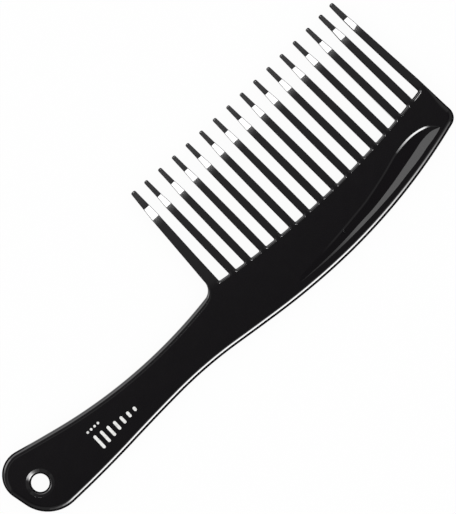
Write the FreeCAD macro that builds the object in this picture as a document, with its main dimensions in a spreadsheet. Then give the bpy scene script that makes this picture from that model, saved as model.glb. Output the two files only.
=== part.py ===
import FreeCAD, Part
import math
import os
import Sketcher

# A wide tooth comb with a handle, moulded in one shot. It lies flat: +X runs from the handle to
# the far end, +Y points along the teeth, +Z is up. The origin is under the middle of its box.
# Every piece is drawn about the middle plane of the moulding and then lifted by half its thickness.

doc = FreeCAD.newDocument("wide_tooth_comb")
sheet = doc.addObject("Spreadsheet::Sheet", "Sizes")

TEETH = 16
TURN = math.radians


# ---------------------------------------------------------------- driving sizes (mm and degrees)

SIZES = {
    # moulding
    "thickness": 6.0,
    "edge_round": 2.5,
    # the section where the handle meets the spine
    "seam_x": -9.4,
    "seam_top_y": -13.37,
    "seam_top_angle": 7.83,
    "seam_back_y": -35.68,
    "seam_back_angle": 7.29,
    # handle, from the seam to its round end: tooth side, then back side
    "waist_top_radius": 219.83,
    "waist_top_turn": 20.5,
    "grip_top_radius": 1074.83,
    "grip_top_turn": 1.05,
    "end_top_radius": 10.77,
    "waist_back_radius": 190.83,
    "waist_back_turn": 9.55,
    "grip_back_radius": 929.83,
    "grip_back_turn": 1.65,
    "butt_back_radius": 502.17,
    "butt_back_turn": 4.0,
    "end_back_radius": 15.97,
    # hang hole, with a lead-in on both faces
    "hole_x": -107.9,
    "hole_y": -21.8,
    "hole_radius": 3.8,
    "lead_width": 2.0,
    "lead_depth": 1.3,
    # spine: its back edge, the far corner and the line that the gaps between the teeth stop at
    "fall_radius": 1664.45,
    "fall_turn": 0.68,
    "belly_radius": 317.45,
    "belly_turn": 5.54,
    "rise_radius": 256.45,
    "rise_turn": 17.1,
    "corner_radius": 5.1,
    "corner_turn": 78.5,
    "throat_length": 2.65,
    "throat_radius": 5.33,
    "gap_arc_x": 56.7,
    "gap_arc_y": 343.5,
    "gap_arc_radius": 359.2,
    # finger groove, on both faces
    "groove_lip": 0.6,
    "groove_shelf": 0.55,
    "gate_x": 53.8,
    "gate_y": -32.0,
    "gate_radius": 0.7,
    "gate_depth": 0.5,
    # teeth: a straight stretch, a shoulder where each one narrows, and a slim tip
    "tooth_pitch": 7.699,
    "tooth_start_x": -6.434,
    "tooth_datum_y": 2.08,
    "throat_y": -7.8,
    "lean_start": 0.4637,
    "lean_step": 0.1533,
    "root_overlap": 1.5,
    "root_width": 3.35,
    "root_thickness": 5.9,
    "shoulder_width": 2.93,
    "neck_width": 2.24,
    "tip_width": 1.8,
    "shoulder_thickness": 4.6,
    "neck_thickness": 3.4,
    "tip_thickness": 2.8,
    "shoulder_y": 25.14,
    "shoulder_rise": 0.0099,
    "neck_y": 30.7,
    "neck_rise": 0.0053,
    "tip_arc_x": 51.8,
    "tip_arc_y": 1464.3,
    "tip_arc_radius": 1425.8,
    "tip_round": 0.75,
    "tip_bevel": 0.22,
    "tip_inset": 0.6,
    # printed motif: bars of falling height, and a row of dots beside them
    "ink": 0.04,
    "bar_width": 1.3,
    "bar_pitch": 3.3,
    "bar_x": -78.5,
    "bar_y": -26.2,
    "bar_tall": 6.8,
    "bar_step": 0.8,
    "dot_radius": 0.55,
    "dot_pitch": 1.9,
    "dot_x": -79.4,
    "dot_y": -20.1,
}
BARS = 7
DOTS = 4

# The two outer teeth are wider and lean outward at the root: left and right side at each station.
OUTER_TEETH = {
    1: {"root": (-3.2, 2.6), "throat": (-2.2, 2.61), "datum": (-1.68, 2.69),
        "shoulder": (-0.56, 3.05), "neck": (-0.12, 2.95), "tip": (0.55, 2.75)},
    16: {"root": (115.7, 119.05), "throat": (115.5, 118.9), "datum": (114.75, 118.06),
         "shoulder": (113.15, 115.97), "neck": (112.95, 115.42), "tip": (112.8, 114.72)},
}
# Groove sections: place along X, then across it the crease by the back edge, the lowest line and
# the shoulder on the tooth side, and the depth of the lowest line below the face.
GROOVE = [
    {"x": 36.6, "rim": -35.6, "low": -35.1, "top": -32.4, "deep": 0.15},
    {"x": 61.2, "rim": -35.45, "low": -33.9, "top": -29.8, "deep": 0.40},
    {"x": 85.9, "rim": -33.05, "low": -30.4, "top": -24.4, "deep": 0.66},
    {"x": 98.3, "rim": -31.05, "low": -27.65, "top": -21.95, "deep": 0.85},
    {"x": 105.3, "rim": -29.5, "low": -26.45, "top": -22.6, "deep": 0.76},
    {"x": 110.8, "rim": -28.15, "low": -27.35, "top": -26.1, "deep": 0.18},
]


def size(name):
    return float(sheet.get(name))


def fill_sheet():
    """One row for each driving size, with its name beside it and as its alias."""
    rows = dict(SIZES)
    for number, stations in OUTER_TEETH.items():
        for station, (left, right) in stations.items():
            rows["tooth%d_%s_left" % (number, station)] = left
            rows["tooth%d_%s_right" % (number, station)] = right
    for index, section in enumerate(GROOVE):
        for key, value in section.items():
            rows["groove%d_%s" % (index, key)] = value
    for row, (name, value) in enumerate(rows.items(), start=1):
        sheet.set("A%d" % row, name)
        sheet.set("B%d" % row, str(value))
        sheet.setAlias("B%d" % row, name)
    doc.recompute()


# ---------------------------------------------------------------- sketch helpers

def new_body(name):
    body = doc.addObject("PartDesign::Body", name)
    body.Label = name
    return body


def origin_plane(body, role):
    return [f for f in body.Origin.OriginFeatures if f.Role == role][0]


def new_sketch(body, name, role="XY_Plane", offset=None):
    """A sketch on one of the body's own planes, moved along the plane's normal by a formula."""
    sketch = body.newObject("Sketcher::SketchObject", name)
    sketch.AttachmentSupport = [(origin_plane(body, role), "")]
    sketch.MapMode = "FlatFace"
    if offset is not None:
        sketch.setExpression("AttachmentOffset.Base.z", offset)
    return sketch


def bind(sketch, constraint, formula):
    """Adds a dimension to a sketch and ties it to a formula of the sheet's cells."""
    index = sketch.addConstraint(constraint)
    sketch.setExpression("Constraints[%d]" % index, formula)


def pin(sketch, geo, pos, x_formula, y_formula):
    """Places one point of a sketch by its distances from the sketch's origin."""
    at = sketch.getPoint(geo, pos)
    bind(sketch, Sketcher.Constraint("DistanceX", -1, 1, geo, pos, at.x), x_formula)
    bind(sketch, Sketcher.Constraint("DistanceY", -1, 1, geo, pos, at.y), y_formula)


def polygon(sketch, corners):
    """A closed outline of straight sides. Each corner is a pair of (value, formula)."""
    count = len(corners)
    points = [FreeCAD.Vector(x[0], y[0], 0) for x, y in corners]
    sides = []
    for i in range(count):
        sides.append(sketch.addGeometry(Part.LineSegment(points[i], points[(i + 1) % count])))
    for i in range(count):
        sketch.addConstraint(Sketcher.Constraint("Coincident", sides[i - 1], 2, sides[i], 1))
    for i, (x, y) in enumerate(corners):
        pin(sketch, sides[i], 1, x[1], y[1])


class Outline:
    """A chain of tangent arcs and lines in a sketch, drawn from a pinned start in a set direction."""

    def __init__(self, sketch, x, y, heading, heading_formula):
        self.sketch = sketch
        self.at = FreeCAD.Vector(size(x), size(y), 0)
        self.heading = heading
        back = FreeCAD.Vector(math.cos(heading), math.sin(heading), 0)
        leader = sketch.addGeometry(Part.LineSegment(self.at - back, self.at), True)
        pin(sketch, leader, 2, "Sizes." + x, "Sizes." + y)
        sketch.addConstraint(Sketcher.Constraint("Distance", leader, 1.0))
        bind(sketch, Sketcher.Constraint("Angle", leader, heading), heading_formula)
        self.end = (leader, 2)
        self.first = None

    def _join(self, geo, near, far):
        self.sketch.addConstraint(Sketcher.Constraint("Tangent", self.end[0], self.end[1], geo, near))
        if self.first is None:
            self.first = (geo, near)
        self.end = (geo, far)

    def line(self, length, formula=None):
        step = FreeCAD.Vector(math.cos(self.heading), math.sin(self.heading), 0) * length
        geo = self.sketch.addGeometry(Part.LineSegment(self.at, self.at + step))
        self.at = self.at + step
        self._join(geo, 1, 2)
        if formula:
            bind(self.sketch, Sketcher.Constraint("Distance", geo, length), formula)

    def arc(self, radius_cell, turn, turn_cell=None):
        """An arc that turns left by a positive angle in degrees, or right by a negative one."""
        radius = size(radius_cell)
        side = 1 if turn > 0 else -1
        normal = FreeCAD.Vector(-math.sin(self.heading), math.cos(self.heading), 0) * side
        centre = self.at + normal * radius
        start = math.atan2(-normal.y, -normal.x)
        sweep = TURN(turn)
        low, high = sorted((start, start + sweep))
        circle = Part.Circle(centre, FreeCAD.Vector(0, 0, 1), radius)
        geo = self.sketch.addGeometry(Part.ArcOfCircle(circle, low, high))
        finish = start + sweep
        self.at = centre + FreeCAD.Vector(math.cos(finish), math.sin(finish), 0) * radius
        self.heading += sweep
        near, far = (1, 2) if side > 0 else (2, 1)
        self._join(geo, near, far)
        bind(self.sketch, Sketcher.Constraint("Radius", geo, radius), "Sizes." + radius_cell)
        if turn_cell:
            angle = Sketcher.Constraint("Angle", geo, abs(sweep))
            bind(self.sketch, angle, "Sizes." + turn_cell + " * 1 deg")


def pad_about_middle(body, sketch, formula):
    pad = body.newObject("PartDesign::Pad", body.Name + "_pad")
    pad.Profile = sketch
    pad.Midplane = True
    pad.setExpression("Length", formula)
    doc.recompute()
    return pad


def edges_where(feature, test):
    """Names of the edges of a feature's shape that pass a test."""
    return ["Edge%d" % (i + 1) for i, e in enumerate(feature.Shape.Edges) if test(e)]


def on_face(edge):
    """True for an edge that lies in the top or bottom face of the moulding."""
    box = edge.BoundBox
    return box.ZLength < 1e-6 and abs(abs(box.ZMax) - size("thickness") / 2) < 1e-6


def round_edges(body, base, names, formula, label):
    fillet = body.newObject("PartDesign::Fillet", label)
    fillet.Base = (base, names)
    fillet.setExpression("Radius", formula)
    doc.recompute()
    return fillet


def lift(thing):
    """Raises a finished piece so that the moulding's lower face is at Z = 0."""
    thing.setExpression("Placement.Base.z", "Sizes.thickness / 2")


# ---------------------------------------------------------------- handle

def make_handle():
    body = new_body("handle")
    sketch = new_sketch(body, "handle_outline")
    top = Outline(sketch, "seam_x", "seam_top_y", TURN(180 + size("seam_top_angle")),
                  "180 deg + Sizes.seam_top_angle * 1 deg")
    top.arc("waist_top_radius", -size("waist_top_turn"), "waist_top_turn")
    top.arc("grip_top_radius", -size("grip_top_turn"), "grip_top_turn")
    top.arc("end_top_radius", 115.5)
    back = Outline(sketch, "seam_x", "seam_back_y", TURN(180 - size("seam_back_angle")),
                   "180 deg - Sizes.seam_back_angle * 1 deg")
    back.arc("waist_back_radius", size("waist_back_turn"), "waist_back_turn")
    back.arc("grip_back_radius", size("grip_back_turn"), "grip_back_turn")
    back.arc("butt_back_radius", -size("butt_back_turn"), "butt_back_turn")
    back.arc("end_back_radius", -78.1)
    flat = sketch.addGeometry(Part.LineSegment(top.at, back.at))
    sketch.addConstraint(Sketcher.Constraint("Tangent", top.end[0], top.end[1], flat, 1))
    sketch.addConstraint(Sketcher.Constraint("Tangent", back.end[0], back.end[1], flat, 2))
    seam_from = sketch.getPoint(*top.first)
    seam_to = sketch.getPoint(*back.first)
    seam = sketch.addGeometry(Part.LineSegment(seam_from, seam_to))
    sketch.addConstraint(Sketcher.Constraint("Coincident", top.first[0], top.first[1], seam, 1))
    sketch.addConstraint(Sketcher.Constraint("Coincident", back.first[0], back.first[1], seam, 2))
    doc.recompute()
    pad = pad_about_middle(body, sketch, "Sizes.thickness")

    def not_the_seam(edge):
        return on_face(edge) and edge.BoundBox.XLength > 1e-3

    round_edges(body, pad, edges_where(pad, not_the_seam), "Sizes.edge_round", "handle_round")

    hole_sketch = new_sketch(body, "hole_outline")
    centre = FreeCAD.Vector(size("hole_x"), size("hole_y"), 0)
    ring = hole_sketch.addGeometry(Part.Circle(centre, FreeCAD.Vector(0, 0, 1), size("hole_radius")))
    pin(hole_sketch, ring, 3, "Sizes.hole_x", "Sizes.hole_y")
    bind(hole_sketch, Sketcher.Constraint("Radius", ring, size("hole_radius")), "Sizes.hole_radius")
    hole = body.newObject("PartDesign::Pocket", "hang_hole")
    hole.Profile = hole_sketch
    hole.Midplane = True
    hole.setExpression("Length", "Sizes.thickness * 2")
    doc.recompute()

    def hole_rim(edge):
        return on_face(edge) and abs(edge.BoundBox.XLength - 2 * size("hole_radius")) < 1e-3

    lead = body.newObject("PartDesign::Chamfer", "hole_lead_in")
    lead.Base = (hole, edges_where(hole, hole_rim))
    lead.ChamferType = "Two distances"
    lead.setExpression("Size", "Sizes.lead_width")
    lead.setExpression("Size2", "Sizes.lead_depth")
    doc.recompute()
    lift(body)
    return body


# ---------------------------------------------------------------- spine

def cut_groove(body, side):
    """The finger groove in one face: side is 1 for the upper face and -1 for the lower one."""
    name = "groove_upper" if side > 0 else "groove_lower"
    half = size("thickness") / 2
    sections = []
    for index, given in enumerate(GROOVE):
        key = "Sizes.groove%d_" % index
        sketch = new_sketch(body, "%s_%d" % (name, index), "YZ_Plane", key + "x")
        lip = (side * (half + size("groove_lip")), "%d * (Sizes.thickness / 2 + Sizes.groove_lip)" % side)
        face = (side * half, "%d * Sizes.thickness / 2" % side)
        low = (side * (half - given["deep"]), "%d * (Sizes.thickness / 2 - %sdeep)" % (side, key))
        shelf = (side * (half - given["deep"] * size("groove_shelf")),
                 "%d * (Sizes.thickness / 2 - %sdeep * Sizes.groove_shelf)" % (side, key))
        step = (given["top"] - given["low"]) / 4
        corners = [
            ((given["rim"], key + "rim"), face),
            ((given["low"], key + "low"), low),
            ((given["top"] - step, "%stop - (%stop - %slow) / 4" % (key, key, key)), shelf),
            ((given["top"], key + "top"), face),
            ((given["top"], key + "top"), lip),
            ((given["rim"], key + "rim"), lip),
        ]
        polygon(sketch, corners)
        sections.append(sketch)
    doc.recompute()
    groove = body.newObject("PartDesign::SubtractiveLoft", name)
    groove.Profile = sections[0]
    groove.Sections = sections[1:]
    groove.Ruled = True
    doc.recompute()


def make_spine():
    body = new_body("spine")
    sketch = new_sketch(body, "spine_outline")
    back = Outline(sketch, "seam_x", "seam_back_y", -TURN(size("seam_back_angle")),
                   "-Sizes.seam_back_angle * 1 deg")
    back.arc("fall_radius", size("fall_turn"), "fall_turn")
    back.arc("belly_radius", size("belly_turn"), "belly_turn")
    back.arc("rise_radius", size("rise_turn"), "rise_turn")
    back.arc("corner_radius", size("corner_turn"), "corner_turn")
    back.line(14.2)
    throat = Outline(sketch, "seam_x", "seam_top_y", TURN(size("seam_top_angle")),
                     "Sizes.seam_top_angle * 1 deg")
    throat.line(size("throat_length"), "Sizes.throat_length")
    throat.arc("throat_radius", 46.0)
    centre = FreeCAD.Vector(size("gap_arc_x"), size("gap_arc_y"), 0)
    left = math.atan2(throat.at.y - centre.y, throat.at.x - centre.x)
    right = math.atan2(back.at.y - centre.y, back.at.x - centre.x)
    circle = Part.Circle(centre, FreeCAD.Vector(0, 0, 1), size("gap_arc_radius"))
    gaps = sketch.addGeometry(Part.ArcOfCircle(circle, left, right))
    pin(sketch, gaps, 3, "Sizes.gap_arc_x", "Sizes.gap_arc_y")
    bind(sketch, Sketcher.Constraint("Radius", gaps, size("gap_arc_radius")), "Sizes.gap_arc_radius")
    sketch.addConstraint(Sketcher.Constraint("Coincident", throat.end[0], throat.end[1], gaps, 1))
    sketch.addConstraint(Sketcher.Constraint("Coincident", back.end[0], back.end[1], gaps, 2))
    seam = sketch.addGeometry(Part.LineSegment(sketch.getPoint(*throat.first), sketch.getPoint(*back.first)))
    sketch.addConstraint(Sketcher.Constraint("Coincident", throat.first[0], throat.first[1], seam, 1))
    sketch.addConstraint(Sketcher.Constraint("Coincident", back.first[0], back.first[1], seam, 2))
    doc.recompute()
    pad = pad_about_middle(body, sketch, "Sizes.thickness")

    def outer_edge(edge):
        middle = edge.valueAt((edge.FirstParameter + edge.LastParameter) / 2)
        on_seam = abs(middle.x - size("seam_x")) < 1e-3
        from_arc = math.hypot(middle.x - size("gap_arc_x"), middle.y - size("gap_arc_y"))
        return on_face(edge) and not on_seam and abs(from_arc - size("gap_arc_radius")) > 1e-3

    round_edges(body, pad, edges_where(pad, outer_edge), "Sizes.edge_round", "spine_round")
    cut_groove(body, 1)
    cut_groove(body, -1)

    gate_sketch = new_sketch(body, "gate_outline", "XY_Plane", "Sizes.thickness / 2 - Sizes.gate_depth")
    at = FreeCAD.Vector(size("gate_x"), size("gate_y"), 0)
    ring = gate_sketch.addGeometry(Part.Circle(at, FreeCAD.Vector(0, 0, 1), size("gate_radius")))
    pin(gate_sketch, ring, 3, "Sizes.gate_x", "Sizes.gate_y")
    bind(gate_sketch, Sketcher.Constraint("Radius", ring, size("gate_radius")), "Sizes.gate_radius")
    gate = body.newObject("PartDesign::Pocket", "gate_mark")
    gate.Profile = gate_sketch
    gate.Reversed = True
    gate.setExpression("Length", "Sizes.gate_depth * 2")
    doc.recompute()
    lift(body)
    return body


# ---------------------------------------------------------------- teeth

def tooth_stations(number):
    """Sections of one tooth from root to tip: (y, left, right, thickness), each (value, formula)."""
    middle = size("tooth_start_x") + number * size("tooth_pitch")
    middle_formula = "(Sizes.tooth_start_x + %d * Sizes.tooth_pitch)" % number
    slope = math.tan(TURN(size("lean_start") + number * size("lean_step")))
    slope_formula = "tan((Sizes.lean_start + %d * Sizes.lean_step) * 1 deg)" % number
    gap_drop = size("gap_arc_radius") ** 2 - (middle - size("gap_arc_x")) ** 2
    tip_drop = size("tip_arc_radius") ** 2 - (middle - size("tip_arc_x")) ** 2
    root = (
        size("gap_arc_y") - math.sqrt(gap_drop) - size("root_overlap"),
        "Sizes.gap_arc_y - sqrt(Sizes.gap_arc_radius ^ 2 - (%s - Sizes.gap_arc_x) ^ 2)"
        " - Sizes.root_overlap" % middle_formula)
    tip = (
        size("tip_arc_y") - math.sqrt(tip_drop),
        "Sizes.tip_arc_y - sqrt(Sizes.tip_arc_radius ^ 2 - (%s - Sizes.tip_arc_x) ^ 2)" % middle_formula)
    tip_start = (tip[0] - size("tip_round"), tip[1] + " - Sizes.tip_round")
    tip_bevel = (tip[0] - size("tip_bevel"), tip[1] + " - Sizes.tip_bevel")
    shoulder = (size("shoulder_y") + middle * size("shoulder_rise"),
                "Sizes.shoulder_y + %s * Sizes.shoulder_rise" % middle_formula)
    throat = (size("throat_y"), "Sizes.throat_y")
    rows = [
        ("root", root, "root_width", "root_thickness"),
        ("datum", (size("tooth_datum_y"), "Sizes.tooth_datum_y"), "root_width", None),
        ("shoulder", shoulder, "shoulder_width", "shoulder_thickness"),
        ("neck", (size("neck_y") + middle * size("neck_rise"),
                  "Sizes.neck_y + %s * Sizes.neck_rise" % middle_formula),
         "neck_width", "neck_thickness"),
        ("tip", tip_start, "tip_width", "tip_thickness"),
        ("tip", tip_bevel, "tip_width", "tip_thickness"),
        ("tip", tip, "tip_width", "tip_thickness"),
    ]
    if number in OUTER_TEETH:
        rows.insert(1, ("throat", throat, None, None))
    insets = [None] * (len(rows) - 2) + ["Sizes.tip_bevel", "Sizes.tip_inset"]
    stations = []
    for (name, y, width_cell, thick_cell), inset in zip(rows, insets):
        if number in OUTER_TEETH:
            cells = ["tooth%d_%s_%s" % (number, name, side) for side in ("left", "right")]
            sides = [(size(cell), "Sizes." + cell) for cell in cells]
        else:
            at = middle - slope * (y[0] - size("tooth_datum_y"))
            formula = "%s - %s * (%s - Sizes.tooth_datum_y)" % (middle_formula, slope_formula, y[1])
            half = size(width_cell) / 2
            sides = [(at - half, "%s - Sizes.%s / 2" % (formula, width_cell)),
                     (at + half, "%s + Sizes.%s / 2" % (formula, width_cell))]
        if thick_cell:
            thick = (size(thick_cell), "Sizes." + thick_cell)
        else:
            # the faces run straight from the root to the shoulder
            share = (y[0] - root[0]) / (shoulder[0] - root[0])
            share_formula = "(%s - (%s)) / (%s - (%s))" % (y[1], root[1], shoulder[1], root[1])
            drop = size("root_thickness") - size("shoulder_thickness")
            thick = (size("root_thickness") - share * drop,
                     "Sizes.root_thickness - (%s) * (Sizes.root_thickness - Sizes.shoulder_thickness)"
                     % share_formula)
        left, right = sides
        if inset:
            by = size(inset.split(".")[1])
            left = (left[0] + by, left[1] + " + " + inset)
            right = (right[0] - by, right[1] + " - " + inset)
            thick = (thick[0] - 2 * by, thick[1] + " - 2 * " + inset)
        stations.append((y, left, right, thick))
    return stations


def make_tooth(number, spine):
    """A tapered tooth, trimmed at its root to the spine that it grows out of."""
    label = "tooth_%02d" % number
    body = new_body(label + "_blank")
    sections = []
    for index, (y, left, right, thick) in enumerate(tooth_stations(number)):
        sketch = new_sketch(body, "%s_section_%d" % (label, index), "XZ_Plane", "-(%s)" % y[1])
        up = (thick[0] / 2, "(%s) / 2" % thick[1])
        down = (-thick[0] / 2, "-(%s) / 2" % thick[1])
        polygon(sketch, [(left, down), (right, down), (right, up), (left, up)])
        sections.append(sketch)
    doc.recompute()
    loft = body.newObject("PartDesign::AdditiveLoft", label + "_loft")
    loft.Profile = sections[0]
    loft.Sections = sections[1:]
    loft.Ruled = True
    doc.recompute()
    lift(body)
    trimmed = doc.addObject("Part::Cut", label)
    trimmed.Base = body
    trimmed.Tool = spine
    trimmed.Label = label
    doc.recompute()
    return trimmed


# ---------------------------------------------------------------- printed motif

def make_print():
    """Ink on the handle's upper face: bars that shorten towards the teeth, and a row of dots."""
    body = new_body("printed_mark")
    sketch = new_sketch(body, "print_outline", "XY_Plane", "Sizes.thickness / 2")
    half_width = (size("bar_width") / 2, "Sizes.bar_width / 2")
    for bar in range(BARS):
        x = size("bar_x") + bar * size("bar_pitch")
        x_formula = "Sizes.bar_x + %d * Sizes.bar_pitch" % bar
        reach = (size("bar_tall") - bar * size("bar_step")) / 2
        reach_formula = "(Sizes.bar_tall - %d * Sizes.bar_step) / 2" % bar
        left = (x - half_width[0], "%s - %s" % (x_formula, half_width[1]))
        right = (x + half_width[0], "%s + %s" % (x_formula, half_width[1]))
        low = (size("bar_y") - reach, "Sizes.bar_y - %s" % reach_formula)
        high = (size("bar_y") + reach, "Sizes.bar_y + %s" % reach_formula)
        polygon(sketch, [(left, low), (right, low), (right, high), (left, high)])
    for dot in range(DOTS):
        at = FreeCAD.Vector(size("dot_x") + dot * size("dot_pitch"), size("dot_y"), 0)
        ring = sketch.addGeometry(Part.Circle(at, FreeCAD.Vector(0, 0, 1), size("dot_radius")))
        pin(sketch, ring, 3, "Sizes.dot_x + %d * Sizes.dot_pitch" % dot, "Sizes.dot_y")
        bind(sketch, Sketcher.Constraint("Radius", ring, size("dot_radius")), "Sizes.dot_radius")
    doc.recompute()
    pad = body.newObject("PartDesign::Pad", "print_pad")
    pad.Profile = sketch
    pad.setExpression("Length", "Sizes.ink")
    doc.recompute()
    lift(body)
    return body


# ---------------------------------------------------------------- build, check and write

fill_sheet()
handle = make_handle()
spine = make_spine()
teeth = [make_tooth(number, spine) for number in range(1, TEETH + 1)]
printed_mark = make_print()
doc.recompute()

pieces = [handle, spine] + teeth + [printed_mark]
for item in doc.Objects:
    if "Invalid" in item.State or "Error" in item.State:
        raise RuntimeError("%s failed: %s" % (item.Name, item.State))
for piece in pieces:
    if piece.Shape.isNull() or not piece.Shape.isValid():
        raise RuntimeError("%s has no valid shape" % piece.Label)

os.makedirs("parts", exist_ok=True)
for piece in pieces:
    piece.Shape.exportStep("parts/%s.step" % piece.Label)
    box = piece.Shape.BoundBox
    print("%-14s solids %d  volume %8.1f  x %.2f %.2f  y %.2f %.2f  z %.2f %.2f" % (
        piece.Label, len(piece.Shape.Solids), piece.Shape.Volume,
        box.XMin, box.XMax, box.YMin, box.YMax, box.ZMin, box.ZMax))
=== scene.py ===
import math

import bpy
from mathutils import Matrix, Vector
from mathutils.geometry import delaunay_2d_cdt


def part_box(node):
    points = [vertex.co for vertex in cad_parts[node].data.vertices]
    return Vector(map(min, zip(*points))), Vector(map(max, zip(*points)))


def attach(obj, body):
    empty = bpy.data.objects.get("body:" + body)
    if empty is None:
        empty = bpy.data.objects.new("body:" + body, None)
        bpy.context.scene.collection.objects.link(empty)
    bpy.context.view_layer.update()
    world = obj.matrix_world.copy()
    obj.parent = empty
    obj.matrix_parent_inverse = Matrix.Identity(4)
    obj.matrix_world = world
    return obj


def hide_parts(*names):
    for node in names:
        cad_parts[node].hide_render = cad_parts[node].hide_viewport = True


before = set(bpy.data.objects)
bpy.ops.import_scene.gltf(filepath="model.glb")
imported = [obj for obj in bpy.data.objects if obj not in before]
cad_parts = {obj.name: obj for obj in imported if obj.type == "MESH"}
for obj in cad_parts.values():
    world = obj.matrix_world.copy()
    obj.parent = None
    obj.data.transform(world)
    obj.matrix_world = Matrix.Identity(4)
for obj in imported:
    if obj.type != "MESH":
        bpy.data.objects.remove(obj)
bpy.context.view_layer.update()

# A wide tooth comb, lying flat: +X from the handle to the far end, +Y along the teeth, +Z up.
# The meshes are drawn in millimetres about the middle plane of the moulding, then lifted by half
# its thickness and turned into metres.


# ---------------------------------------------------------------- sizes (millimetres and degrees)

MM = 0.001
SPINE_LOW, SPINE_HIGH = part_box("spine")
HALF = (SPINE_HIGH.z - SPINE_LOW.z) / MM / 2

# the section where the handle meets the spine
SEAM_X = -9.4
SEAM_TOP_Y, SEAM_TOP_ANGLE = -13.37, 7.83
SEAM_BACK_Y, SEAM_BACK_ANGLE = -35.68, 7.29

# outline arcs as (radius, turn), from the seam outward; a positive turn is to the left
HANDLE_TOP = [(219.83, -20.5), (1074.83, -1.05)]
HANDLE_BACK = [(190.83, 9.55), (929.83, 1.65), (502.17, -4.0)]
END_TOP_RADIUS = 10.77
END_BACK_RADIUS = 15.97
SPINE_BACK = [(1664.45, 0.68), (317.45, 5.54), (256.45, 17.1), (5.1, 78.5)]
THROAT_LENGTH, THROAT_RADIUS = 2.65, 5.33
GAP_ARC_X, GAP_ARC_Y, GAP_ARC_RADIUS = 56.7, 343.5, 359.2
TIP_ARC_X, TIP_ARC_Y, TIP_ARC_RADIUS = 51.8, 1464.3, 1425.8

# roundings
EDGE_ROUND = 2.5
GAP_ROUND = 1.4
TOOTH_ROUND = 0.22
TIP_ROUND, TIP_FADE = 0.6, 2.5
GAP_CORNER = 0.5
TIP_CORNER = 0.68
RIM_STEPS = 14

# hang hole and its lead-in
HOLE_X, HOLE_Y, HOLE_RADIUS = -107.9, -21.8, 3.8
LEAD_TILT, LEAD_WIDTH, LEAD_IN_ROUND, LEAD_OUT_ROUND = 25.0, 0.95, 2.0, 0.1

# teeth
TEETH = 16
PITCH, FIRST_X, DATUM_Y = 7.699, -6.434, 2.08
LEAN_START, LEAN_STEP = 0.4637, 0.1533
SHOULDER_Y, SHOULDER_RISE = 25.14, 0.0099
NECK_Y, NECK_RISE = 30.7, 0.0053
ROOT_WIDTH, SHOULDER_WIDTH, NECK_WIDTH, TIP_WIDTH = 3.35, 2.93, 2.24, 1.8
SHOULDER_HALF, NECK_HALF, TIP_HALF = 2.35, 1.7, 1.51
ROOT_BLEND = 1.5
BROW, BROW_SLOPE = 4.0, 0.05
STUB, BELOW_FOOT = 2.2, 0.2
OUTER_STUB_Y = -7.0
# left and right side of the two outer teeth at a few heights
OUTER_TEETH = {
    1: [(-12.9, -3.2, 2.6), (-7.8, -2.2, 2.61), (2.08, -1.68, 2.69), (25.15, -0.56, 3.05),
        (30.71, -0.12, 2.95), (39.4, 0.55, 2.75)],
    16: [(-11.9, 115.7, 119.05), (-7.8, 115.5, 118.9), (2.08, 114.75, 118.06), (26.3, 113.15, 115.97),
         (31.31, 112.95, 115.42), (40.0, 112.8, 114.72)],
}

# finger groove: place along X, then the crease by the back edge, the lowest line, the shoulder on
# the tooth side and how far the face drops at that shoulder
GROOVE = [
    (27.0, -35.0, -34.9, -33.3, 0.0),
    (36.6, -35.6, -35.1, -32.4, 0.07),
    (45.0, -35.8, -35.0, -31.6, 0.12),
    (53.0, -35.75, -34.6, -30.8, 0.17),
    (61.2, -35.45, -33.9, -29.8, 0.19),
    (69.5, -34.9, -33.25, -28.6, 0.2),
    (81.8, -33.7, -31.27, -25.65, 0.22),
    (90.0, -32.4, -29.5, -23.2, 0.26),
    (94.1, -31.8, -28.6, -22.4, 0.33),
    (98.2, -31.05, -27.65, -21.95, 0.38),
    (102.3, -30.1, -26.7, -22.05, 0.385),
    (106.5, -29.3, -26.35, -22.95, 0.375),
    (108.9, -28.75, -26.65, -24.1, 0.27),
    (111.0, -28.1, -27.4, -26.2, 0.1),
    (111.8, -27.7, -27.6, -27.5, 0.0),
]
# tilt of the wall by the back edge, which is steeper where the groove begins
WALL_X = [27.0, 36.6, 45.0, 53.0, 61.2, 69.0, 111.8]
WALL_TILT = [20.0, 19.3, 18.4, 16.8, 14.5, 14.0, 14.0]
SHOULDER_RUN = 0.75
GATE_X, GATE_Y, GATE_RADIUS, GATE_DEPTH = 53.8, -32.05, 0.7, 0.25
# the nub in its middle, and how steep its wall and the nub's are, for a radius of 1
NUB_RADIUS, NUB_RISE, NUB_STEEP, GATE_STEEP = 0.55, 0.9, 3, 4
GATE_RINGS, GATE_SIDES = (1.0, 0.75, 0.55, 0.4, 0.22), 24

# sampling
ARC_STEP, TURN_STEP, LINE_STEP = 1.2, 4.0, 1.2
GROOVE_STEPS = 130
CORNER_STEPS = 16
GAP_STEPS = 6
NUDGE = 0.1
SMALL, TINY = 1e-4, 1e-6


# ---------------------------------------------------------------- curves in the plane

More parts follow.
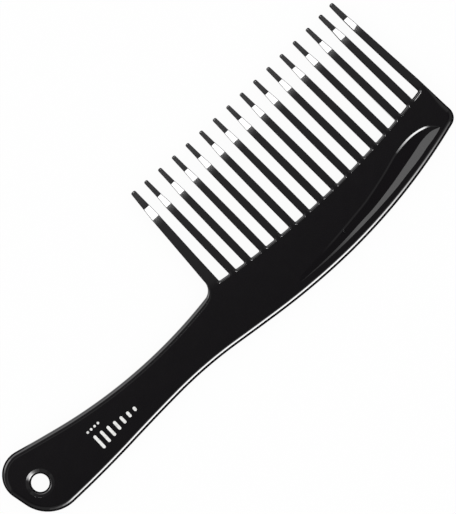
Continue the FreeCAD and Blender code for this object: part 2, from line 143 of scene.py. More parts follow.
class Path:
    """A walk along tangent arcs and lines. Each stop is (x, y, heading in radians)."""

    def __init__(self, x, y, heading):
        self.stops = [(x, y, math.radians(heading))]

    def line(self, length):
        x, y, heading = self.stops[-1]
        pieces = max(1, math.ceil(length / LINE_STEP))
        for i in range(1, pieces + 1):
            part = length * i / pieces
            self.stops.append((x + part * math.cos(heading), y + part * math.sin(heading), heading))
        return self

    def centre(self, radius, side):
        x, y, heading = self.stops[-1]
        return Vector((x - side * radius * math.sin(heading), y + side * radius * math.cos(heading)))

    def arc(self, radius, turn):
        heading = self.stops[-1][2]
        side = math.copysign(1, turn)
        centre = self.centre(radius, side)
        sweep = math.radians(turn)
        pieces = max(2, math.ceil(abs(sweep) * radius / ARC_STEP), math.ceil(abs(turn) / TURN_STEP))
        for i in range(1, pieces + 1):
            angle = heading + sweep * i / pieces
            self.stops.append((centre.x + side * radius * math.sin(angle),
                               centre.y - side * radius * math.cos(angle), angle))
        return self

    def arcs(self, spans):
        for radius, turn in spans:
            self.arc(radius, turn)
        return self

    def backwards(self):
        return [(x, y, heading + math.pi) for x, y, heading in reversed(self.stops)]


def smooth_line(places, values):
    """A smooth function through a few values, whose slopes come from their neighbours."""
    last = len(places) - 1
    slopes = []
    for i in range(last + 1):
        before, after = max(i - 1, 0), min(i + 1, last)
        slopes.append((values[after] - values[before]) / (places[after] - places[before]))

    def at(place):
        place = min(max(place, places[0]), places[-1])
        i = max(j for j in range(last) if places[j] <= place)
        span = places[i + 1] - places[i]
        t = (place - places[i]) / span
        rise = values[i + 1] - values[i]
        curl = t * (1 - t) * ((1 - t) * (slopes[i] * span - rise) + t * (rise - slopes[i + 1] * span))
        return values[i] + rise * t + curl
    return at


def ease(t):
    t = min(max(t, 0.0), 1.0)
    return t * t * (3 - 2 * t)


def with_round(stops, start, end, begin=0.0, finish=1.0):
    """Adds a rounding to each stop, which eases from one radius to another along the walk."""
    lengths = [0.0]
    for a, b in zip(stops, stops[1:]):
        lengths.append(lengths[-1] + math.hypot(b[0] - a[0], b[1] - a[1]))
    out = []
    for stop, length in zip(stops, lengths):
        share = (length / lengths[-1] - begin) / (finish - begin)
        out.append(stop + (start + (end - start) * ease(share),))
    return out


# ---------------------------------------------------------------- heights of the upper surface

def gap_line(x):
    return GAP_ARC_Y - math.sqrt(GAP_ARC_RADIUS ** 2 - (x - GAP_ARC_X) ** 2)


def tip_line(x):
    return TIP_ARC_Y - math.sqrt(TIP_ARC_RADIUS ** 2 - (x - TIP_ARC_X) ** 2)


def shoulder_line(x):
    return SHOULDER_Y + SHOULDER_RISE * x


def neck_line(x):
    return NECK_Y + NECK_RISE * x


def root_height(x, y):
    """The face, and the gentle slope of the teeth that starts where they leave the spine."""
    past = y - gap_line(x)
    slope = (HALF - SHOULDER_HALF) / (shoulder_line(x) - gap_line(x))
    if past <= -ROOT_BLEND:
        return HALF
    if past < ROOT_BLEND:
        return HALF - slope * (past + ROOT_BLEND) ** 2 / (4 * ROOT_BLEND)
    return HALF - slope * past


def tooth_height(x, y):
    """The slope of a tooth's face, the steeper facet between shoulder and neck, and the slim tip."""
    shoulder, neck, tip = shoulder_line(x), neck_line(x), tip_line(x)
    brow_drop = BROW_SLOPE * BROW / 2
    if y <= shoulder:
        past = max(y - (shoulder - BROW), 0.0)
        return root_height(x, y) - BROW_SLOPE * past * past / (2 * BROW)
    top = SHOULDER_HALF - brow_drop
    if y <= neck:
        return top + (NECK_HALF - top) * (y - shoulder) / (neck - shoulder)
    return NECK_HALF + (TIP_HALF - NECK_HALF) * (y - neck) / (tip - neck)


groove_x = [row[0] for row in GROOVE]
groove_rim = smooth_line(groove_x, [row[1] for row in GROOVE])
groove_low = smooth_line(groove_x, [row[2] for row in GROOVE])
groove_top = smooth_line(groove_x, [row[3] for row in GROOVE])
groove_drop = smooth_line(groove_x, [row[4] for row in GROOVE])
wall_tilt = smooth_line(WALL_X, WALL_TILT)


def groove_foot(x):
    top, low = groove_top(x), groove_low(x)
    return top - min(SHOULDER_RUN, 0.4 * (top - low))


def groove_depth(x, y):
    if not groove_x[0] < x < groove_x[-1]:
        return 0.0
    rim, low, foot, top = groove_rim(x), groove_low(x), groove_foot(x), groove_top(x)
    if not rim < y < top:
        return 0.0
    deep = (low - rim) * math.tan(math.radians(wall_tilt(x)))
    drop = min(groove_drop(x), deep)
    if y < low:
        return deep * (y - rim) / (low - rim)
    if y < foot:
        return deep + (drop - deep) * (y - low) / (foot - low)
    return drop * (top - y) / (top - foot)


def gate_depth(x, y):
    """A shallow round dimple with a small nub in its middle."""
    away = math.hypot(x - GATE_X, y - GATE_Y) / GATE_RADIUS
    wall = max(0.0, min(1.0, (1 - away) * GATE_STEEP))
    return GATE_DEPTH * wall * (1 - NUB_RISE * ease((NUB_RADIUS - away) * NUB_STEEP))


def under_height(x, y):
    return root_height(x, y) - groove_depth(x, y)


def spine_height(x, y):
    return under_height(x, y) - gate_depth(x, y)


def flat_height(x, y):
    return HALF


def face_normal(height, x, y):
    across = (height(x + SMALL, y) - height(x - SMALL, y)) / (2 * SMALL)
    along = (height(x, y + SMALL) - height(x, y - SMALL)) / (2 * SMALL)
    return Vector((-across, -along, 1)).normalized()


# ---------------------------------------------------------------- meshes with exact normals

class Shell:
    """Collects faces by their corners, each a point with its own normal, and makes one closed mesh."""

    def __init__(self):
        self.index = {}
        self.points = []
        self.faces = []
        self.normals = []

    def vertex(self, point):
        key = tuple(round(c, 5) for c in point)
        if key not in self.index:
            self.index[key] = len(self.points)
            self.points.append(point)
        return self.index[key]

    def face(self, corners):
        ring, normals = [], []
        for point, normal in corners:
            vertex = self.vertex(point)
            if vertex not in ring:
                ring.append(vertex)
                normals.append(normal)
        if len(ring) > 2:
            self.faces.append(ring)
            self.normals.append(normals)

    def both(self, corners, under=None):
        """A face of the upper side, and on the lower side its mirror image or that of another face."""
        self.face(corners)
        self.face([((x, y, -z), Vector((n.x, n.y, -n.z)))
                   for (x, y, z), n in reversed(under or corners)])

    def make(self, name, material):
        mesh = bpy.data.meshes.new(name)
        points = [(x * MM, y * MM, (z + HALF) * MM) for x, y, z in self.points]
        mesh.from_pydata(points, [], self.faces)
        mesh.polygons.foreach_set("use_smooth", [True] * len(mesh.polygons))
        mesh.normals_split_custom_set([tuple(n) for normals in self.normals for n in normals])
        mesh.materials.append(material)
        piece = bpy.data.objects.new(name, mesh)
        bpy.context.scene.collection.objects.link(piece)
        return piece


def rim_point(stop, step, height):
    """A point of the rounded edge: step 0 is the top of the side wall, RIM_STEPS is on the face."""
    x, y, heading, radius = stop
    angle = math.pi / 2 * step / RIM_STEPS
    inward = radius * (1 - math.cos(angle))
    x -= math.sin(heading) * inward
    y += math.cos(heading) * inward
    return (x, y, height(x, y) - radius * (1 - math.sin(angle)))


def rim_normal(stop, step, height, near):
    x, y, _ = rim_point(stop, step, height)
    x += (near[0] - x) * NUDGE
    y += (near[1] - y) * NUDGE
    angle = math.pi / 2 * step / RIM_STEPS
    outward = Vector((math.sin(stop[2]), -math.cos(stop[2]), 0))
    return (outward * math.cos(angle) + face_normal(height, x, y) * math.sin(angle)).normalized()


def add_rim(shell, strip, height):
    """The rounded edge and the side wall along one stretch of the outline."""
    for a, b in zip(strip, strip[1:]):
        for step in range(RIM_STEPS):
            ends = [(a, step), (b, step), (b, step + 1), (a, step + 1)]
            points = [rim_point(stop, at, height) for stop, at in ends]
            near = [sum(p[i] for p in points) / 4 for i in (0, 1)]
            shell.both([(point, rim_normal(stop, at, height, near))
                        for point, (stop, at) in zip(points, ends)])
        corners = []
        for stop, side in ((a, -1), (b, -1), (b, 1), (a, 1)):
            x, y, z = rim_point(stop, 0, height)
            corners.append(((x, y, side * z), Vector((math.sin(stop[2]), -math.cos(stop[2]), 0))))
        shell.face(corners)


def add_cap(shell, end, start, height):
    """The flat section where one piece of the moulding meets the next."""
    ends = [rim_point(end, step, height) for step in range(RIM_STEPS + 1)]
    starts = [rim_point(start, step, height) for step in range(RIM_STEPS + 1)]
    loop = [(x, y, -z) for x, y, z in ends + starts[::-1]] + starts + ends[::-1]
    across = Vector((start[0] - end[0], start[1] - end[1], 0)).normalized()
    normal = Vector((across.y, -across.x, 0))
    shell.face([(point, normal) for point in loop])


def add_face(shell, strips, height, lines=(), under=None):
    """The upper and lower face inside the rounded edges, with creases along the given lines."""
    border = [rim_point(stop, RIM_STEPS, height)[:2] for strip in strips for stop in strip]
    points = [Vector(point) for point in border]
    edges = []
    for line in lines:
        first = len(points)
        points += [Vector(point) for point in line]
        edges += [(first + i, first + i + 1) for i in range(len(line) - 1)]
    result = delaunay_2d_cdt(points, edges, [list(range(len(border)))], 1, TINY)
    found, triangles = result[0], result[2]
    for triangle in triangles:
        flat = [found[i] for i in triangle]
        middle = (flat[0] + flat[1] + flat[2]) / 3
        if math.hypot(middle.x - HOLE_X, middle.y - HOLE_Y) < LEAD_OUTER:
            continue
        sides = []
        for surface in (height, under or height):
            corners = []
            for corner in flat:
                near = corner + (middle - corner) * NUDGE
                corners.append(((corner.x, corner.y, surface(corner.x, corner.y)),
                                face_normal(surface, near.x, near.y)))
            sides.append(corners)
        shell.both(sides[0], sides[1])


def build(name, strips, height, material, lines=(), under=None, extra=None):
    shell = Shell()
    for strip in strips:
        add_rim(shell, strip, height)
    for this, following in zip(strips, strips[1:] + strips[:1]):
        add_cap(shell, this[-1], following[0], height)
    add_face(shell, strips, height, lines, under)
    if extra:
        extra(shell)
    piece = shell.make(name, material)
    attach(piece, "root")
    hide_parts(name)


# ---------------------------------------------------------------- handle

LEAD_ANGLE = math.radians(LEAD_TILT)
LEAD_OUTER = (HOLE_RADIUS + LEAD_IN_ROUND * (1 - math.sin(LEAD_ANGLE)) + LEAD_WIDTH
              + LEAD_OUT_ROUND * math.sin(LEAD_ANGLE))
HOLE_SIDES = 96
OUT_STEPS, IN_STEPS = 4, 12


def lead_profile():
    """From the face to the wall of the hang hole, as (radius, height, tilt of the surface)."""
    rows = []
    for i in range(OUT_STEPS + 1):
        angle = LEAD_ANGLE * i / OUT_STEPS
        rows.append((LEAD_OUTER - LEAD_OUT_ROUND * math.sin(angle),
                     HALF - LEAD_OUT_ROUND * (1 - math.cos(angle)), angle))
    cone_end = rows[-1][1] - LEAD_WIDTH * math.tan(LEAD_ANGLE)
    wall_top = cone_end - LEAD_IN_ROUND * math.cos(LEAD_ANGLE)
    for i in range(IN_STEPS + 1):
        angle = LEAD_ANGLE + (math.pi / 2 - LEAD_ANGLE) * i / IN_STEPS
        rows.append((HOLE_RADIUS + LEAD_IN_ROUND * (1 - math.sin(angle)),
                     wall_top + LEAD_IN_ROUND * math.cos(angle), angle))
    return rows


def hole_corner(row, side, sign=1):
    radius, height, angle = row
    turn = 2 * math.pi * side / HOLE_SIDES
    away = Vector((math.cos(turn), math.sin(turn), 0))
    point = (HOLE_X + radius * away.x, HOLE_Y + radius * away.y, sign * height)
    return point, away * -math.sin(angle) + Vector((0, 0, sign * math.cos(angle)))


def add_hole(shell):
    rows = lead_profile()
    for side in range(HOLE_SIDES):
        for outer, inner in zip(rows, rows[1:]):
            shell.both([hole_corner(outer, side), hole_corner(outer, side + 1),
                        hole_corner(inner, side + 1), hole_corner(inner, side)])
        wall = rows[-1]
        shell.face([hole_corner(wall, side), hole_corner(wall, side + 1),
                    hole_corner(wall, side + 1, -1), hole_corner(wall, side, -1)])


def handle_strip():
    top = Path(SEAM_X, SEAM_TOP_Y, 180 + SEAM_TOP_ANGLE).arcs(HANDLE_TOP)
    back = Path(SEAM_X, SEAM_BACK_Y, 180 - SEAM_BACK_ANGLE).arcs(HANDLE_BACK)
    upper = top.centre(END_TOP_RADIUS, 1)
    lower = back.centre(END_BACK_RADIUS, -1)
    between = lower - upper
    # the straight end touches both end arcs
    outward = math.atan2(between.y, between.x) - math.acos(
        (END_TOP_RADIUS - END_BACK_RADIUS) / between.length)
    straight = outward + math.pi / 2
    full = 2 * math.pi
    top.arc(END_TOP_RADIUS, math.degrees((straight - top.stops[-1][2]) % full))
    away = Vector((math.cos(outward), math.sin(outward)))
    length = (between + away * (END_BACK_RADIUS - END_TOP_RADIUS)).length
    top.line(length)
    arrive = back.stops[-1][2] + math.pi
    top.arc(END_BACK_RADIUS, math.degrees((arrive - straight) % full))
    return [stop + (EDGE_ROUND,) for stop in top.stops[:-1] + back.backwards()]


def make_handle(material):
    turns = range(HOLE_SIDES + 1)
    ring = [hole_corner(lead_profile()[0], side % HOLE_SIDES)[0][:2] for side in turns]
    build("handle", [handle_strip()], flat_height, material, [ring], extra=add_hole)


# ---------------------------------------------------------------- teeth and spine outlines

def tooth_rows(number):
    """Left and right side of a tooth at the heights where its taper changes."""
    if number in OUTER_TEETH:
        return OUTER_TEETH[number]
    middle = FIRST_X + number * PITCH
    slope = math.tan(math.radians(LEAN_START + number * LEAN_STEP))
    rows = []
    for y, width in ((gap_line(middle) - STUB, ROOT_WIDTH), (DATUM_Y, ROOT_WIDTH),
                     (shoulder_line(middle), SHOULDER_WIDTH), (neck_line(middle), NECK_WIDTH),
                     (tip_line(middle), TIP_WIDTH)):
        x = middle - slope * (y - DATUM_Y)
        rows.append((y, x - width / 2, x + width / 2))
    return rows


def tooth_side(number, side, y):
    """X and heading of one side of a tooth; side 1 is its left side and 2 its right."""
    rows = tooth_rows(number)
    i = max(j for j in range(len(rows) - 1) if rows[j][0] <= y or j == 0)
    low, high = rows[i], rows[i + 1]
    share = (y - low[0]) / (high[0] - low[0])
    heading = math.atan2(high[0] - low[0], high[side] - low[side])
    return low[side] + share * (high[side] - low[side]), heading


def stub_y(number):
    if number in OUTER_TEETH:
        return OUTER_STUB_Y
    return gap_line(FIRST_X + number * PITCH) + STUB


def side_stops(number, side, start, end):
    """Stops along a tooth's side, up or down, with one at each height where its taper changes."""
    low, high = sorted((start, end))
    rows = tooth_rows(number)
    breaks = [y for y in [row[0] for row in rows] + [rows[-3][0] - BROW] if low < y < high]
    ends = sorted([low, high] + breaks)
    heights = [low]
    for a, b in zip(ends, ends[1:]):
        pieces = math.ceil((b - a) / LINE_STEP)
        heights += [a + (b - a) * i / pieces for i in range(1, pieces + 1)]
    stops = []
    for y in heights:
        x, below = tooth_side(number, side, max(y - TINY, low))
        above = tooth_side(number, side, y)[1]
        stops.append((x, y, (below + above) / 2))
    if start > end:
        stops = [(x, y, heading + math.pi) for x, y, heading in reversed(stops)]
    return stops


def fillet(first, second, radius):
    """The arc between two straight runs: where it starts, where it ends and how far it turns."""
    ax, ay, a = first
    bx, by, b = second
    turn = (b - a + math.pi) % (2 * math.pi) - math.pi
    reach = radius * math.tan(abs(turn) / 2)
    cross = math.sin(b - a)
    along = ((bx - ax) * math.sin(b) - (by - ay) * math.cos(b)) / cross
    x, y = ax + along * math.cos(a), ay + along * math.sin(a)
    path = Path(x - reach * math.cos(a), y - reach * math.sin(a), math.degrees(a))
    return path.arc(radius, math.degrees(turn)).stops


def gap_stop(x):
    """The line that the gaps stop at, walked towards the handle."""
    return (x, gap_line(x), math.pi + math.asin((x - GAP_ARC_X) / GAP_ARC_RADIUS))


def gap_strip(number):
    """Down the left side of one tooth, across the gap's bottom and up the next tooth's right side."""
    far, near = number + 1, number
    far_foot = tooth_side(far, 1, stub_y(far) - BELOW_FOOT)[0]
    near_foot = tooth_side(near, 2, stub_y(near) - BELOW_FOOT)[0]
    root = gap_line((far_foot + near_foot) / 2)
    far_x, far_heading = tooth_side(far, 1, root)
    near_x, near_heading = tooth_side(near, 2, root)
    first = fillet((far_x, root, far_heading + math.pi), gap_stop(far_x), GAP_CORNER)
    second = fillet(gap_stop(near_x), (near_x, root, near_heading), GAP_CORNER)
    down = side_stops(far, 1, stub_y(far), first[0][1])[:-1]
    up = side_stops(near, 2, second[-1][1], stub_y(near))[1:]
    bottom = [gap_stop(first[-1][0] + (second[0][0] - first[-1][0]) * i / GAP_STEPS)
              for i in range(1, GAP_STEPS)]
    return (with_round(down + first, TOOTH_ROUND, GAP_ROUND)
            + [stop + (GAP_ROUND,) for stop in bottom]
            + with_round(second + up, GAP_ROUND, TOOTH_ROUND))


def spine_strips():
    back = Path(SEAM_X, SEAM_BACK_Y, -SEAM_BACK_ANGLE).arcs(SPINE_BACK)
    around = [stop + (EDGE_ROUND,) for stop in back.stops]
    corner = back.stops[-1]
    top_y = stub_y(TEETH)
    top_x, heading = tooth_side(TEETH, 2, top_y)
    rise = []
    for i in range(1, CORNER_STEPS + 1):
        share = i / CORNER_STEPS
        rise.append((corner[0] + (top_x - corner[0]) * share, corner[1] + (top_y - corner[1]) * share,
                     corner[2] + (heading - corner[2]) * share))
    around += with_round(rise, EDGE_ROUND, TOOTH_ROUND)
    throat = Path(SEAM_X, SEAM_TOP_Y, SEAM_TOP_ANGLE).line(THROAT_LENGTH)
    first_x, first_heading = tooth_side(1, 1, OUTER_STUB_Y)
    throat.arc(THROAT_RADIUS, math.degrees(first_heading) - SEAM_TOP_ANGLE)
    joined = [(first_x, OUTER_STUB_Y, first_heading + math.pi)] + throat.backwards()
    gaps = [gap_strip(number) for number in range(TEETH - 1, 0, -1)]
    return [around] + gaps + [with_round(joined, TOOTH_ROUND, EDGE_ROUND)]


def spine_lines():
    """Lines that the spine's face is divided along: the groove's creases, the gate mark, the roots."""
    span = groove_x[-1] - groove_x[0]
    across = [groove_x[0] + span * math.sin(math.pi / 2 * i / GROOVE_STEPS)
              for i in range(GROOVE_STEPS + 1)]
    lines = []
    for edge in (groove_rim, groove_low, groove_foot, groove_top):
        lines.append([(x, edge(x)) for x in across])
    for share in (0.33, 0.66):
        lines.append([(x, groove_low(x) + share * (groove_foot(x) - groove_low(x)))
                      for x in across[1:-2]])
    turns = [2 * math.pi * i / GATE_SIDES for i in range(GATE_SIDES + 1)]
    for share in GATE_RINGS:
        reach = GATE_RADIUS * share
        lines.append([(GATE_X + reach * math.cos(turn), GATE_Y + reach * math.sin(turn))
                      for turn in turns])
    for number in range(1, TEETH + 1):
        for step in range(-3, 4):
            y = gap_line(FIRST_X + number * PITCH) + ROOT_BLEND * step / 3
            left = tooth_side(number, 1, y)[0] + GAP_ROUND
            right = tooth_side(number, 2, y)[0] - GAP_ROUND
            lines.append([(left, y), ((left + right) / 2, y), (right, y)])
    # two lines below the gaps, close to where their roundings end
    for below in (1.1, ROOT_BLEND):
        lines.append([(x, gap_line(x) - below) for x in range(0, 117)])
    return lines


def make_spine(material):
    build("spine", spine_strips(), spine_height, material, spine_lines(), under_height)


def tooth_strip(number):
    """Up a tooth's right side, round its tip and down its left side."""
    rows = tooth_rows(number)
    tip, left, right = rows[-1]
    right_heading = tooth_side(number, 2, tip)[1]
    left_heading = tooth_side(number, 1, tip)[1] + math.pi
    turn_in = fillet((right, tip, right_heading), (right, tip, math.pi), TIP_CORNER)
    turn_out = fillet((left, tip, math.pi), (left, tip, left_heading), TIP_CORNER)
    up = side_stops(number, 2, stub_y(number), turn_in[0][1])[:-1]
    down = side_stops(number, 1, turn_out[-1][1], stub_y(number))[1:]
    fade = 1 - TIP_FADE / (tip - stub_y(number))
    climbing = with_round(up + turn_in, TOOTH_ROUND, TIP_ROUND, fade, 1.0)
    falling = with_round(turn_out + down, TIP_ROUND, TOOTH_ROUND, 0.0, 1 - fade)
    return climbing + falling


def tooth_lines(number):
    rows = tooth_rows(number)
    lines = []
    for row, back in ((rows[-3], BROW), (rows[-3], BROW / 2), (rows[-3], 0.0), (rows[-2], 0.0)):
        y = row[0] - back
        left = tooth_side(number, 1, y)[0] + TOOTH_ROUND
        right = tooth_side(number, 2, y)[0] - TOOTH_ROUND
        lines.append([(left, y), (right, y)])
    return lines


def make_tooth(number, material):
    build("tooth_%02d" % number, [tooth_strip(number)], tooth_height, material, tooth_lines(number))


# ---------------------------------------------------------------- printed motif

BARS, BAR_X, BAR_Y, BAR_STEP, BAR_HALF_WIDTH = 7, -78.5, -26.2, 3.3, 0.65
BAR_LENGTH, BAR_SHRINK = 6.8, 0.8
DOTS, DOT_X, DOT_Y, DOT_STEP, DOT_RADIUS = 4, -79.4, -20.1, 1.9, 0.55


def stadium(x, y, half_width, reach, steps=10):
    """A bar with round ends, as points in the plane."""
    points = []
    for i in range(2 * steps + 2):
        end = 1 if i <= steps else -1
        angle = math.pi * (i if i <= steps else i - 1) / steps
        points.append((x + half_width * math.cos(angle),
                       y + end * max(reach - half_width, 0.0) + half_width * math.sin(angle)))
    return points


def make_print(material):
    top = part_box("printed_mark")[1].z / MM - HALF
    shell = Shell()
    shapes = [stadium(BAR_X + BAR_STEP * bar, BAR_Y, BAR_HALF_WIDTH, (BAR_LENGTH - BAR_SHRINK * bar) / 2)
              for bar in range(BARS)]
    shapes += [stadium(DOT_X + DOT_STEP * dot, DOT_Y, DOT_RADIUS, DOT_RADIUS) for dot in range(DOTS)]
    up = Vector((0, 0, 1))
    for outline in shapes:
        shell.face([((x, y, top), up) for x, y in outline])
        shell.face([((x, y, HALF), -up) for x, y in reversed(outline)])
        count = len(outline)
        for i in range(count):
            (ax, ay), (bx, by) = outline[i], outline[(i + 1) % count]
            side = Vector((by - ay, ax - bx, 0))
            if side.length < TINY:
                continue
            side.normalize()
            shell.face([((ax, ay, HALF), side), ((bx, by, HALF), side), ((bx, by, top), side),
                        ((ax, ay, top), side)])
    piece = shell.make("printed_mark_ink", material)
    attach(piece, "root")
    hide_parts("printed_mark")


# ---------------------------------------------------------------- materials

PLASTIC_IOR = 1.49
PLASTIC_ROUGHNESS = (0.05, 0.1)
PLASTIC_TONES = (0.0024, 0.0018, 0.0026, 1), (0.0036, 0.0028, 0.0038, 1)
FLOW_STRENGTH, FLOW_HEIGHT = 0.04, 0.0002
INK_THIN, INK_FULL = (0.62, 0.62, 0.6, 1), (0.85, 0.85, 0.83, 1)
INK_ROUGHNESS = 0.55
# noise as (scale, detail)
TONE_NOISE, GLOSS_NOISE, FLOW_NOISE, INK_NOISE = (90.0, 3.0), (260.0, 5.0), (140.0, 1.0), (900.0, 4.0)


def new_material(name):
    material = bpy.data.materials.new(name)
    material.use_nodes = True
    nodes = material.node_tree.nodes
    return material, nodes, material.node_tree.links, nodes["Principled BSDF"]


def noise_node(nodes, links, scale, detail):
    """Noise in the piece's own space, whose coarsest features are about 1 / scale metres wide."""
    place = nodes.new("ShaderNodeTexCoord")
    noise = nodes.new("ShaderNodeTexNoise")
    noise.inputs["Scale"].default_value = scale
    noise.inputs["Detail"].default_value = detail
    links.new(place.outputs["Object"], noise.inputs["Vector"])
    return noise.outputs["Fac"]


def black_plastic():
    """Glossy moulded plastic: faint flow waviness, a slightly uneven gloss and tone."""
    material, nodes, links, shader = new_material("black_plastic")
    shader.inputs["IOR"].default_value = PLASTIC_IOR
    colour = nodes.new("ShaderNodeMix")
    colour.data_type = "RGBA"
    colour.inputs["A"].default_value, colour.inputs["B"].default_value = PLASTIC_TONES
    links.new(noise_node(nodes, links, *TONE_NOISE), colour.inputs["Factor"])
    links.new(colour.outputs["Result"], shader.inputs["Base Color"])

    spread = nodes.new("ShaderNodeMapRange")
    spread.inputs["To Min"].default_value, spread.inputs["To Max"].default_value = PLASTIC_ROUGHNESS
    links.new(noise_node(nodes, links, *GLOSS_NOISE), spread.inputs["Value"])
    links.new(spread.outputs["Result"], shader.inputs["Roughness"])

    flow = nodes.new("ShaderNodeBump")
    flow.inputs["Strength"].default_value = FLOW_STRENGTH
    flow.inputs["Distance"].default_value = FLOW_HEIGHT
    links.new(noise_node(nodes, links, *FLOW_NOISE), flow.inputs["Height"])
    links.new(flow.outputs["Normal"], shader.inputs["Normal"])
    return material


def white_ink():
    """Pad printed ink: matt, and a little thinner in places."""
    material, nodes, links, shader = new_material("white_ink")
    shader.inputs["Roughness"].default_value = INK_ROUGHNESS
    ramp = nodes.new("ShaderNodeValToRGB")
    thin, full = ramp.color_ramp.elements
    thin.position, thin.color = 0.3, INK_THIN
    full.position, full.color = 0.55, INK_FULL
    links.new(noise_node(nodes, links, *INK_NOISE), ramp.inputs["Fac"])
    links.new(ramp.outputs["Color"], shader.inputs["Base Color"])
    return material


# ---------------------------------------------------------------- floor, light and camera

VIEW_ROLL = -43.2
VIEW_X, VIEW_Y = 11.9, -6.97
VIEW_WIDTH = 187.5
CAMERA_HEIGHT = 2000.0

FLOOR_REACH, FLOOR_DROP, FLOOR_GLOW = 6000.0, 0.02, 0.95
# painted brightness of the floor as the plastic mirrors it, a glow that stands in for light and shade
# (painted light on the teeth's side, painted shade beyond the back edge), and where it changes: across
# the comb, and along it to either end
FLOOR_LIT, FLOOR_SHADED = 1.15, 0.03
SHADE_FROM_Y, SHADE_TO_Y = -21.0, -27.0
SHADE_FROM_X, SHADE_TO_X = 98.0, 103.0

# brightness of the room as the plastic mirrors it, by angle from straight up towards the teeth's side
ROOM_TOP = 4.0
ROOM = [
    (-90, 0.15), (-76, 0.15), (-60, 0.35), (-36, 0.42), (-22, 0.36), (-15, 0.12), (-4, 0.1),
    (-0.5, 0.13), (1, 0.24), (1.8, 0.33), (2.15, 0.38), (2.7, 0.52), (4, 0.56), (12, 0.5),
    (20, 0.25), (55, 0.22), (60, 2.1), (68, 2.65), (90, 2.8),
]
# the more a mirrored direction leans along X, the more even the room is: a share of that brightness
# is left, and a little is added everywhere
END_FROM, END_TO, END_SHARE, END_MORE = 0.3, 0.8, 0.6, 0.2


def make_camera():
    camera = bpy.data.cameras.new("camera")
    camera.sensor_fit = "HORIZONTAL"
    camera.sensor_width = 36.0
    camera.lens = camera.sensor_width * CAMERA_HEIGHT / VIEW_WIDTH
    camera.clip_end = 100.0
    holder = bpy.data.objects.new("camera", camera)
    holder.location = (VIEW_X * MM, VIEW_Y * MM, (CAMERA_HEIGHT + HALF) * MM)
    holder.rotation_euler = (0, 0, math.radians(VIEW_ROLL))
    bpy.context.scene.collection.objects.link(holder)
    bpy.context.scene.camera = holder


def math_node(nodes, links, operation, *values):
    node = nodes.new("ShaderNodeMath")
    node.operation = operation
    for socket, value in zip(node.inputs, values):
        if isinstance(value, (int, float)):
            socket.default_value = value
        else:
            links.new(value, socket)
    return node.outputs["Value"]


def ramp_node(nodes, links, value, low, high, start, end):
    """Goes smoothly from start to end while the value goes from low to high."""
    node = nodes.new("ShaderNodeMapRange")
    node.interpolation_type = "SMOOTHSTEP"
    links.new(value, node.inputs["Value"])
    for name, number in (("From Min", low), ("From Max", high), ("To Min", start), ("To Max", end)):
        node.inputs[name].default_value = number
    return node.outputs["Result"]


def make_floor():
    """A white sweep. To the plastic's mirror rays it shows a painted reflection, a glow painted bright
    on the teeth's side and painted dark beside the back edge and the two ends.
    """
    mesh = bpy.data.meshes.new("floor")
    reach, level = FLOOR_REACH * MM, -FLOOR_DROP * MM
    mesh.from_pydata([(-reach, -reach, level), (reach, -reach, level), (reach, reach, level),
                      (-reach, reach, level)], [], [(0, 1, 2, 3)])
    floor = bpy.data.objects.new("floor", mesh)
    bpy.context.scene.collection.objects.link(floor)
    material, nodes, links, shader = new_material("floor")
    shader.inputs["Base Color"].default_value = (0.9, 0.9, 0.9, 1)
    shader.inputs["Roughness"].default_value = 1.0
    shader.inputs["Specular IOR Level"].default_value = 0.0
    glow = nodes.new("ShaderNodeEmission")
    bright = nodes.new("ShaderNodeMixShader")
    bright.inputs["Fac"].default_value = FLOOR_GLOW
    links.new(shader.outputs["BSDF"], bright.inputs[1])
    links.new(glow.outputs["Emission"], bright.inputs[2])
    place = nodes.new("ShaderNodeTexCoord")
    parts = nodes.new("ShaderNodeSeparateXYZ")
    links.new(place.outputs["Object"], parts.inputs["Vector"])
    # painted reflection: what mirror rays see of the floor is a glow, painted bright on the teeth's side
    # and painted dark beyond the back edge and past either end
    lit = ramp_node(nodes, links, parts.outputs["Y"], SHADE_TO_Y * MM, SHADE_FROM_Y * MM, 0, FLOOR_LIT)
    along = math_node(nodes, links, "ABSOLUTE", parts.outputs["X"])
    middle = ramp_node(nodes, links, along, SHADE_FROM_X * MM, SHADE_TO_X * MM, 1, 0)
    painted_mirror_level = math_node(nodes, links, "MULTIPLY_ADD", lit, middle, FLOOR_SHADED)
    painted_mirror_glow = nodes.new("ShaderNodeEmission")
    links.new(painted_mirror_level, painted_mirror_glow.inputs["Strength"])
    # mirror rays see the painted glow, all other rays the even white sweep
    seen = nodes.new("ShaderNodeLightPath")
    choose = nodes.new("ShaderNodeMixShader")
    links.new(seen.outputs["Is Glossy Ray"], choose.inputs["Fac"])
    links.new(bright.outputs["Shader"], choose.inputs[1])
    links.new(painted_mirror_glow.outputs["Emission"], choose.inputs[2])
    links.new(choose.outputs["Shader"], nodes["Material Output"].inputs["Surface"])
    mesh.materials.append(material)


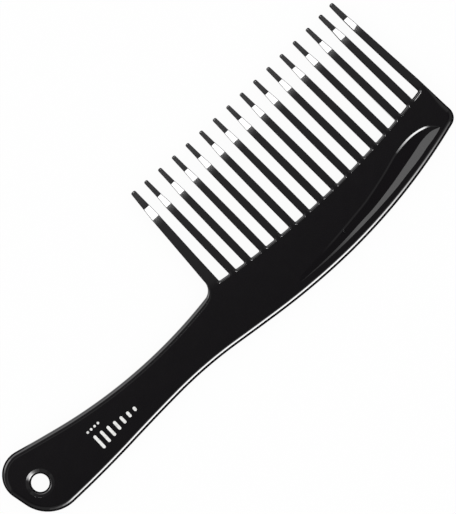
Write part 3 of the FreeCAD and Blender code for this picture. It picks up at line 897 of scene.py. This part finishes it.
def make_room():
    """A soft room, dark overhead and brighter low down on the teeth's side, white to the camera."""
    world = bpy.data.worlds.new("room")
    bpy.context.scene.world = world
    world.use_nodes = True
    nodes, links = world.node_tree.nodes, world.node_tree.links
    place = nodes.new("ShaderNodeTexCoord")
    parts = nodes.new("ShaderNodeSeparateXYZ")
    links.new(place.outputs["Generated"], parts.inputs["Vector"])
    angle = math_node(nodes, links, "ARCTAN2", parts.outputs["Y"], parts.outputs["Z"])
    share = nodes.new("ShaderNodeMapRange")
    share.inputs["From Min"].default_value = -math.pi / 2
    share.inputs["From Max"].default_value = math.pi / 2
    links.new(angle, share.inputs["Value"])
    profile = nodes.new("ShaderNodeFloatCurve")
    curve = profile.mapping.curves[0]
    while len(curve.points) < len(ROOM):
        curve.points.new(0.5, 0.5)
    for point, (degrees, brightness) in zip(curve.points, ROOM):
        point.location = ((degrees + 90) / 180, brightness / ROOM_TOP)
        point.handle_type = "VECTOR"
    profile.mapping.update()
    links.new(share.outputs["Result"], profile.inputs["Value"])
    scale = math_node(nodes, links, "MULTIPLY", profile.outputs["Value"], ROOM_TOP)
    along = math_node(nodes, links, "ABSOLUTE", parts.outputs["X"])
    left = ramp_node(nodes, links, along, END_FROM, END_TO, 1, END_SHARE)
    more = ramp_node(nodes, links, along, END_FROM, END_TO, 0, END_MORE)
    level = math_node(nodes, links, "MULTIPLY_ADD", scale, left, more)
    seen = nodes.new("ShaderNodeLightPath")
    pick = nodes.new("ShaderNodeMix")
    pick.data_type = "FLOAT"
    pick.inputs["A"].default_value = 1.0
    links.new(seen.outputs["Is Glossy Ray"], pick.inputs["Factor"])
    links.new(level, pick.inputs["B"])
    nodes["Background"].inputs["Color"].default_value = (1, 1, 1, 1)
    links.new(pick.outputs["Result"], nodes["Background"].inputs["Strength"])


def make_light(name, centre, size, level, towards, fades=()):
    """A softbox of the given brightness that only the gloss shows. It faces a point, and its
    brightness can fade along axes of the room: (axis, from, to, what is left)."""
    light = bpy.data.lights.new(name, "AREA")
    light.shape = "RECTANGLE"
    light.size, light.size_y = size[0] * MM, size[1] * MM
    light.energy = level * math.pi * light.size * light.size_y
    holder = bpy.data.objects.new(name, light)
    holder.location = Vector(centre) * MM
    away = holder.location - Vector(towards) * MM
    holder.rotation_euler = away.to_track_quat("Z", "Y").to_euler()
    holder.visible_camera = False
    holder.visible_diffuse = False
    bpy.context.scene.collection.objects.link(holder)
    light.use_nodes = True
    nodes, links = light.node_tree.nodes, light.node_tree.links
    where = nodes.new("ShaderNodeNewGeometry")
    parts = nodes.new("ShaderNodeSeparateXYZ")
    links.new(where.outputs["Position"], parts.inputs["Vector"])
    strength = None
    for axis, start, end, left in fades:
        fade = ramp_node(nodes, links, parts.outputs[axis], start * MM, end * MM, 1, left)
        strength = math_node(nodes, links, "MULTIPLY", strength, fade) if strength else fade
    if strength:
        links.new(strength, nodes["Emission"].inputs["Strength"])


def make_lights():
    # a strip high over the teeth, which the facets below their tips mirror, with a dim apron beside it
    make_light("strip", (76, 135, 500), (180, 58), 32.0, (76, 135, 0))
    make_light("apron", (76, 80, 500), (180, 52), 1.5, (76, 80, 0), [("Y", 102, 54, 0.0)])
    # a dim panel further out, which the wall of the finger groove mirrors
    make_light("panel", (50, 320, 500), (150, 280), 2.3, (50, 320, 0), [("Y", 228, 385, 0.08)])
    # tall softboxes beyond the back edge
    make_light("softbox", (180, -700, 450), (600, 600), 24.5, (180, 0, 450),
               [("X", 50, 385, 0.03), ("Z", 420, 750, 0.3)])
    make_light("softbox_end", (-245, -700, 450), (250, 600), 24.5, (-245, 0, 450),
               [("X", -60, -330, 0.2), ("Z", 420, 750, 0.3)])
    # what the handle's round end mirrors
    make_light("wash", (-545, -700, 425), (350, 650), 1.7, (-545, 0, 425), [("X", -380, -600, 0.35)])
    make_light("end_panel", (-410, 570, 228), (430, 400), 2.2, (-110, -20, 0), [("X", -470, -600, 0.3)])


# ---------------------------------------------------------------- scene

make_camera()
make_room()
make_lights()
make_floor()
plastic = black_plastic()
make_handle(plastic)
make_spine(plastic)
for number in range(1, TEETH + 1):
    make_tooth(number, plastic)
make_print(white_ink())
bpy.context.scene.view_settings.view_transform = "Standard"
